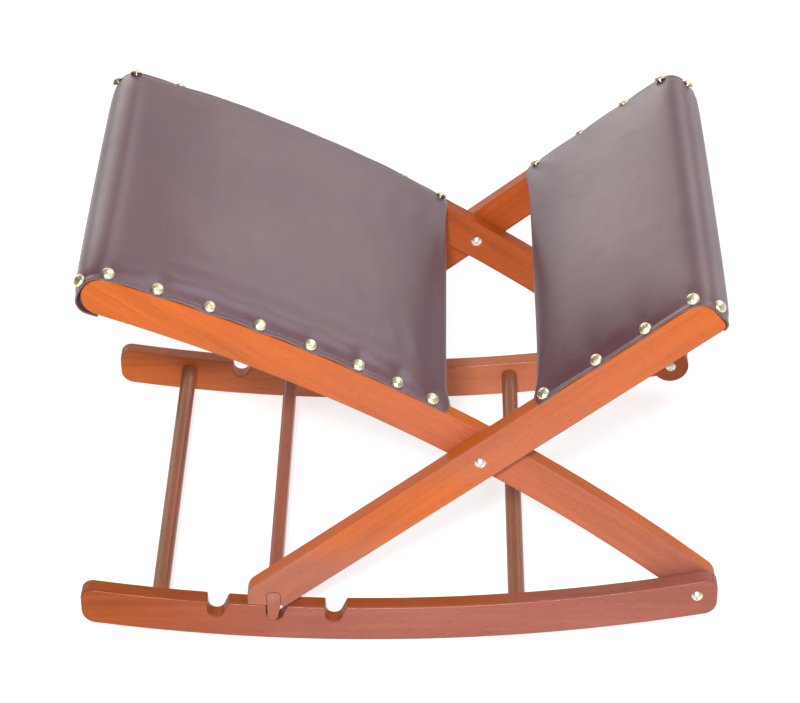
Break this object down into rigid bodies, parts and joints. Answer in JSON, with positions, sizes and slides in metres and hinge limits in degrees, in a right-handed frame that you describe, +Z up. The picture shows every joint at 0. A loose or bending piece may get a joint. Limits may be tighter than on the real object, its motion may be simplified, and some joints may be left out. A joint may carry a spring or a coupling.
{
  "type": "rocking footstool",
  "caption": "Folding footstool on two curved wooden rockers; a crossed frame hinged to them carries a large and a small padded leather rest, its height set by notches in the rockers.",
  "frame": {"origin": "centre of the overall box in plan, on the floor line under the rockers", "axes": "+X along the rockers, from the notched end to the end with the pivot bolts; +Y across the stool, from the near rocker to the far one; +Z up. The near pieces are those on the -Y side."},
  "size_m": [0.5, 0.3492, 0.336],
  "materials": {
    "rocker_wood": "satin lacquer",
    "frame_wood": "satin lacquer",
    "dark_wood": "satin lacquer",
    "pin_wood": "bare",
    "hidden_wood": "bare, sanded",
    "plywood": "bare, sanded",
    "padding": "matt wadding",
    "leather": "satin, lightly polished",
    "brass": "polished",
    "bolt_steel": "bright zinc"
  },
  "bodies": {
    "base": {"near_rocker": "rocker_wood", "far_rocker": "rocker_wood", "left_cross_dowel": "dark_wood", "right_cross_dowel": "dark_wood", "pivot_bolts": "bolt_steel", "pivot_washers": "bolt_steel", "pivot_nuts": "bolt_steel"},
    "inner_frame": {"near_inner_bar": "frame_wood", "far_inner_bar": "frame_wood", "inner_top_rail": "hidden_wood", "inner_lower_rail": "hidden_wood", "inner_rail_pins": "pin_wood", "large_rest_panel": "plywood", "large_rest_foam": "padding", "large_rest_leather": "leather", "large_rest_nails_near": "brass", "large_rest_nails_far": "brass", "scissor_bolts": "bolt_steel", "scissor_washers": "bolt_steel", "scissor_nuts": "bolt_steel"},
    "outer_frame": {"near_outer_bar": "frame_wood", "far_outer_bar": "frame_wood", "stretcher": "dark_wood", "outer_top_rail": "hidden_wood", "outer_lower_rail": "hidden_wood", "outer_rail_pins": "pin_wood", "small_rest_panel": "plywood", "small_rest_foam": "padding", "small_rest_leather": "leather", "small_rest_nails_near": "brass", "small_rest_nails_far": "brass"}
  },
  "joints": [
    {"name": "lift", "type": "hinge", "parent": "base", "child": "inner_frame", "pos_m": [0.2342, 0, 0.04555], "axis": [0, 1, 0], "range_deg": [0, 100]},
    {"name": "fold", "type": "hinge", "parent": "inner_frame", "child": "outer_frame", "pos_m": [0.06342, 0, 0.17518], "axis": [0, -1, 0], "range_deg": [0, 75]}
  ],
  "couplings": [
    {"joint": "fold", "follows": "lift", "ratio": 0.75}
  ]
}
